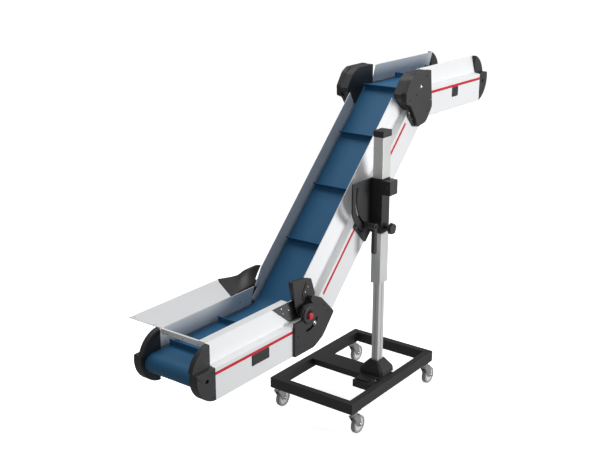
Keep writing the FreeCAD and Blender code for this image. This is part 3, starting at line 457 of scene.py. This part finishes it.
for label, way in (("near", -1), ("far", 1)):
    mesh = bmesh.new()
    corners = [(x, way * (guard_line(z) - inset), z) for inset in (4.2, 6.0)
               for x, z in ((99, -22), (136, -22), (136, 74), (99, 74))]
    verts = [mesh.verts.new(level(high_hinge, *corner)) for corner in corners]
    for face in ((0, 1, 2, 3), (4, 5, 6, 7), (0, 1, 5, 4), (1, 2, 6, 5), (2, 3, 7, 6), (3, 0, 4, 7)):
        mesh.faces.new([verts[corner] for corner in face])
    piece_from(mesh, "wall_lap_" + label, white_level, "discharge", 0.0004)

lean = math.atan2(23, 100)
gusset_out = Vector((0, -math.cos(lean), math.sin(lean)))
button_screws("gusset_screws", [level(low_hinge, x, -guard_line(z) - 5.1, z) for x, z in
                                ((-139, 62), (-131, 36), (-84, 41))], gusset_out, 0.0046, bright, "infeed")
toward_mast = (0, -1, 0)
button_screws("guard_screws", [level(low_hinge, x, -182.5, z) for x, z in ((16, 112), (38, 134))],
              toward_mast, 0.0046, bright, "incline")
button_screws("wall_screw", [level(low_hinge, -102, guard_line(15) - 4.0, 15)], toward_mast, 0.0038,
              dark_steel, "infeed")
button_screws("bar_screws", [level(low_hinge, -688, y, 60) for y in (-96, 0, 96)], (-1, 0, 0), 0.0046,
              bright, "infeed")
button_screws("bracket_screws",
              [level(tilt_pivot, x, 0, z).xyz * Vector((1, 0, 1)) + Vector((0, low_hinge.y - 0.210, 0))
               for x, z in ((-113.6, -120.5), (-159.6, -155.5))], toward_mast, 0.0055, bright, "incline")
mast_y = hinges["height_knob_turn"].y + 0.070
carriage_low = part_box("carriage")[0]
button_screws("carriage_screws", [Vector((carriage_low.x + 0.012, carriage_low.y, z)) for z in
                                  (tilt_pivot.z + 0.045, tilt_pivot.z - 0.183)],
              toward_mast, 0.0050, dark_steel, "carriage")
button_screws("foot_screws", [Vector((tilt_pivot.x - 0.108, mast_y + step, beam_top - 0.008))
                              for step in (0.018, -0.062)],
              (0, 0, 1), 0.0050, bright, "stand")

# ---------------------------------------------------------------- plate and switch
# A blank black plate on the infeed's side with a raised rim and four rivets, and a thin black switch
# plate on the discharge with a rim, a key and a small button.

def rounded_box(width, height, radius, steps=5):
    """Outline of a rectangle about the origin with rounded corners, in millimetres."""
    points = []
    for quarter in range(4):
        sign_x, sign_y = ((1, 1), (-1, 1), (-1, -1), (1, -1))[quarter]
        for step in range(steps + 1):
            turn = math.pi / 2 * (quarter + step / steps)
            points.append((sign_x * (width / 2 - radius) + radius * math.cos(turn),
                           sign_y * (height / 2 - radius) + radius * math.sin(turn)))
    return points


def facing(spot, outward, top=(0, 0, 1)):
    """A placement whose local z looks outward and whose local y points up."""
    out = Vector(outward).normalized()
    side = Vector(top).cross(out).normalized()
    rise = out.cross(side)
    return Matrix.Translation(spot) @ Matrix((side, rise, out)).transposed().to_4x4()


def raised_rim(name, centre, front, outer, inner, body):
    """A raised rim on a face towards -Y: outer and inner give width, height and corner in millimetres."""
    place = facing(Vector((centre.x, front, centre.z)), (0, -1, 0))
    mesh = bmesh.new()
    rims = [[mesh.verts.new(place @ Vector((x / 1000, y / 1000, lift))) for x, y in points]
            for points, lift in ((rounded_box(*outer), -0.0006), (rounded_box(*outer), 0.0010),
                                 (rounded_box(*inner), 0.0010), (rounded_box(*inner), -0.0006))]
    for lower, upper in zip(rims, rims[1:] + rims[:1]):
        for corner in range(len(lower)):
            follow = (corner + 1) % len(lower)
            mesh.faces.new((lower[corner], lower[follow], upper[follow], upper[corner]))
    piece_from(mesh, name, black_plastic, body, 0.0003)


plate_low, plate_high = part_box("infeed_plate")
middle = (plate_low + plate_high) / 2
raised_rim("plate_rim", middle, plate_low.y, (126, 51, 5), (118, 43, 3), "infeed")
button_screws("plate_rivets", [Vector((middle.x + x, plate_low.y, middle.z + z)) for x in (-0.054, 0.054)
                               for z in (-0.0165, 0.0165)], (0, -1, 0), 0.0026, dark_steel, "infeed")

switch_low, switch_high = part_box("switch_box")
middle = (switch_low + switch_high) / 2
raised_rim("switch_rim", middle, switch_low.y, (63, 52, 4), (56, 45, 3), "discharge")
mesh = bmesh.new()
face = facing(Vector((middle.x, switch_low.y, middle.z)), (0, -1, 0))
prism(mesh, rounded_box(30, 12, 3), 1.6, face @ Matrix.Translation((0, 0.006, -0.0003)))
prism(mesh, rounded_box(9, 7, 2), 2.6, face @ Matrix.Translation((-0.008, -0.013, -0.0003)))
piece_from(mesh, "switch_keys", dark_steel, "discharge", 0.0005)

# ---------------------------------------------------------------- corner guard
# Thin black sheet bent from the wing's slanted end up to the incline's far guard: a flat triangular
# facet first, then a curved part that stands nearly upright.

lower_edge = [(-198, 140, 76), (-150, 142, 75), (-100, 143, 75), (-50, 145, 75), (0, 150, 77), (24, 156, 82)]
upper_edge = [(-46, 352, 79), (-2, 262, 106), (22, 230, 133), (44, 203, 152), (74, 182, 163), (94, 168, 158)]


def smooth_line(points, steps):
    """A smooth line through points, sampled evenly between them."""
    line = []
    for index in range(len(points) - 1):
        first, second = Vector(points[index]), Vector(points[index + 1])
        before = Vector(points[max(index - 1, 0)])
        after = Vector(points[min(index + 2, len(points) - 1)])
        for step in range(steps):
            t = step / steps
            line.append(0.5 * (2 * first + (second - before) * t
                               + (2 * before - 5 * first + 4 * second - after) * t ** 2
                               + (3 * first - before - 3 * second + after) * t ** 3))
    line.append(Vector(points[-1]))
    return line


mesh = bmesh.new()
rows = []
for low_spot, high_spot in zip(smooth_line(lower_edge, 8), smooth_line(upper_edge, 8)):
    row = []
    for step in range(11):
        t = step / 10
        bulge = Vector((6, 10, -6)) * math.sin(math.pi * t)
        row.append(mesh.verts.new(level(low_hinge, *(low_spot.lerp(high_spot, t) + bulge))))
    rows.append(row)
for first, second in zip(rows, rows[1:]):
    for step in range(10):
        mesh.faces.new((first[step], first[step + 1], second[step + 1], second[step]))
shell = piece_from(mesh, "corner_sheet", black_plastic, None)
thicken = shell.modifiers.new("thickness", "SOLIDIFY")
thicken.thickness = 0.003
thicken.offset = 0
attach(shell, "infeed")
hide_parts("corner_guard")

# ---------------------------------------------------------------- belt
# Blue fabric-backed belt with upright flights welded across it.  It has one stretch per section, which rides
# on that section, and one over each bend, above and below, baked in place and tied to no section.

def sloped(origin, along, y, across):
    """A point beside an origin, given in millimetres along and across the 45 degree incline."""
    half = math.sqrt(0.5)
    return level(origin, (along - across) * half, y, (along + across) * half)


blue = (0.009, 0.104, 0.228)
belt_blue = layered("belt_blue", blue, 0.62, shade=0.07, patch=5, grain=1500,
                    bump=0.16, spread=0.16, weave=0.0016)
belt_slope = layered("belt_blue_slope", blue, 0.62, shade=0.07, patch=5,
                     grain=1500, bump=0.16, spread=0.16, weave=0.0016, turn=math.radians(45))
top_level, return_level, loop = -30.0, -124.6, 47.3
belt_y = low_hinge.y * 1000


def in_plane(place, origin, first, second):
    """A belt path point in the x-z plane, in metres."""
    spot = place(origin, first, 0, second)
    return Vector((spot.x, spot.z))


def bend_path(start, corner, end, steps=22):
    """Arc that touches both straight runs at its ends, as points in the x-z plane."""
    before, after = (start - corner), (end - corner)
    reach = before.length
    half = before.angle(after) / 2
    radius = reach * math.tan(half)
    centre = corner + (before.normalized() + after.normalized()).normalized() * (radius / math.sin(half))
    first, last = start - centre, end - centre
    sweep = first.angle(last)
    way = 1 if first.x * last.y - first.y * last.x > 0 else -1
    points = []
    for step in range(steps + 1):
        turn = way * sweep * step / steps
        points.append(centre + Vector((first.x * math.cos(turn) - first.y * math.sin(turn),
                                       first.x * math.sin(turn) + first.y * math.cos(turn))))
    return points


def drum_path(centre, start_angle, steps=40):
    """Half turn clockwise round a drum, outer surface of the belt."""
    points = []
    for step in range(steps + 1):
        turn = math.radians(start_angle - 180 * step / steps)
        points.append(centre + Vector((math.cos(turn), math.sin(turn))) * loop / 1000)
    return points


def belt_strip(name, path, finish, body, replaced=None, ends=None):
    """Sweep the belt's section, with its cut edges rounded, along a path of outer-surface points."""
    thick, half = 0.0020, 0.150
    section = [(-half + 0.0006, 0), (half - 0.0006, 0), (half, -0.0006), (half, -0.0014),
               (half - 0.0006, -thick), (-half + 0.0006, -thick), (-half, -0.0014), (-half, -0.0006)]
    mesh = bmesh.new()
    loops = []
    for index, spot in enumerate(path):
        along = (path[min(index + 1, len(path) - 1)] - path[max(index - 1, 0)]).normalized()
        out = Vector((-along.y, along.x))
        loops.append([mesh.verts.new((spot.x + out.x * depth, belt_y / 1000 + across, spot.y + out.y * depth))
                      for across, depth in section])
    for first, second in zip(loops, loops[1:]):
        for corner in range(len(section)):
            follow = (corner + 1) % len(section)
            mesh.faces.new((first[corner], first[follow], second[follow], second[corner]))
    mesh.faces.new(loops[0])
    mesh.faces.new(loops[-1])
    made = piece_from(mesh, name, finish, None if ends else body)
    soften(made, 0.0002, 60)
    if ends:
        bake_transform(made)
    if replaced:
        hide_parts(replaced)
    return made


crossing_top, crossing_back = 12.4264, 51.6112
low_lead = in_plane(level, low_hinge, crossing_top - 60, top_level)
low_exit = in_plane(sloped, low_hinge, 60 - crossing_top, top_level)
high_lead = in_plane(sloped, high_hinge, -crossing_top - 14, top_level)
high_exit = in_plane(level, high_hinge, crossing_top + 14, top_level)
low_back_in = in_plane(sloped, low_hinge, 40 - crossing_back, return_level)
low_back_out = in_plane(level, low_hinge, crossing_back - 40, return_level)
high_back_in = in_plane(level, high_hinge, crossing_back + 30, return_level)
high_back_out = in_plane(sloped, high_hinge, -crossing_back - 30, return_level)
tail = Vector((hinges["tail_drum_turn"].x, hinges["tail_drum_turn"].z))
drive = Vector((hinges["drive_drum_turn"].x, hinges["drive_drum_turn"].z))

belt_strip("belt_infeed", [low_back_out] + drum_path(tail, 270) + [low_lead], belt_blue, "infeed",
           "infeed_belt")
belt_strip("belt_low_bend",
           bend_path(low_lead, in_plane(level, low_hinge, crossing_top, top_level), low_exit),
           belt_blue, ("infeed", "incline"), ends=(low_lead, low_exit))
belt_strip("belt_incline", [low_exit, low_exit.lerp(high_lead, 0.5), high_lead], belt_slope, "incline",
           "incline_belt")
belt_strip("belt_high_bend",
           bend_path(high_lead, in_plane(level, high_hinge, crossing_top, top_level), high_exit),
           belt_blue, ("incline", "discharge"), ends=(high_lead, high_exit))
belt_strip("belt_discharge", [high_exit] + drum_path(drive, 90) + [high_back_in], belt_blue, "discharge",
           "discharge_belt")
belt_strip("belt_high_return",
           bend_path(high_back_in, in_plane(level, high_hinge, crossing_back, return_level), high_back_out),
           belt_blue, ("discharge", "incline"), ends=(high_back_in, high_back_out))
belt_strip("belt_return", [high_back_out, high_back_out.lerp(low_back_in, 0.5), low_back_in], belt_slope,
           "incline")
belt_strip("belt_low_return",
           bend_path(low_back_in, in_plane(level, low_hinge, crossing_back, return_level), low_back_out),
           belt_blue, ("incline", "infeed"), ends=(low_back_in, low_back_out))

flight_half = 138
flight = [(-11, -0.2), (-6, 2.0), (-3.6, 5.6), (-2.7, 11), (-2.5, 31), (-1.9, 33.2), (0, 34), (1.9, 33.2),
          (2.5, 31), (2.7, 11), (3.6, 5.6), (6, 2.0), (11, -0.2)]
for body, place, origin, stations, finish in (
        ("infeed", level, low_hinge, (-287, -634), belt_blue),
        ("incline", sloped, low_hinge, (389, 736, 1083, 1414), belt_slope),
        ("discharge", level, high_hinge, (319, 666), belt_blue)):
    mesh = bmesh.new()
    for station in stations:
        foot = place(origin, station, -flight_half, top_level)
        along = (place(origin, station + 10, -flight_half, top_level) - foot).normalized()
        rise = (place(origin, station, -flight_half, top_level + 10) - foot).normalized()
        stance = Matrix((along, rise, Vector((0, 1, 0)))).transposed().to_4x4()
        prism(mesh, flight, 2 * flight_half, Matrix.Translation(foot) @ stance)
    piece_from(mesh, "flights_" + body, finish, body, 0.0012)

# ---------------------------------------------------------------- studio
# Pale floor and wall in one round sweep that glows a little, a broad key lamp on the mast side and an
# overhead softbox.

floor_finish = layered("studio_floor", (0.93, 0.93, 0.93), 0.85, shade=0.01, grain=40,
                       bump=0.01)
floor_shader = floor_finish.node_tree.nodes["Principled BSDF"]
floor_shader.inputs["Emission Color"].default_value = (1, 1, 1, 1)
floor_shader.inputs["Emission Strength"].default_value = 0.76
mesh = bmesh.new()
sweep = [mesh.verts.new((reach, 0, rise)) for reach, rise in
         ((0, 0), (70, 0), (90, 3), (110, 12), (125, 30), (132, 60), (135, 160))]
runs = [mesh.edges.new(pair) for pair in zip(sweep, sweep[1:])]
bmesh.ops.spin(mesh, geom=sweep + runs, cent=(0, 0, 0), axis=(0, 0, 1), angle=math.tau, steps=96)
bmesh.ops.remove_doubles(mesh, verts=mesh.verts, dist=0.001)
floor = piece_from(mesh, "studio_floor", floor_finish, None)
floor.location.z = -0.0005
floor.visible_diffuse = False
floor.visible_glossy = False

world = bpy.context.scene.world or bpy.data.worlds.new("studio")
bpy.context.scene.world = world
world.use_nodes = True
world.node_tree.nodes["Background"].inputs["Color"].default_value = (1, 1, 1, 1)
world.node_tree.nodes["Background"].inputs["Strength"].default_value = 0.29
for name, spot, size, power in (("key", (2.6, -6.2, 1.6), 3.2, 345),
                                ("overhead", (0.4, 0.6, 6.0), 4.0, 180)):
    lamp = bpy.data.lights.new(name, "AREA")
    lamp.energy = power
    lamp.size = size
    holder = bpy.data.objects.new(name, lamp)
    holder.location = spot
    holder.rotation_euler = (Vector((0, 0, 0.9)) - Vector(spot)).to_track_quat("-Z", "Y").to_euler()
    bpy.context.scene.collection.objects.link(holder)
bpy.context.scene.view_settings.view_transform = "Standard"

lens = bpy.data.cameras.new("camera")
lens.lens = 60.2
lens.clip_end = 1000
camera = bpy.data.objects.new("camera", lens)
camera.location = (-4.2937, -2.9797, 2.6949)
camera.rotation_euler = (math.radians(90 - 17.71), 0, math.radians(36.95 - 90))
bpy.context.scene.collection.objects.link(camera)
bpy.context.scene.camera = camera
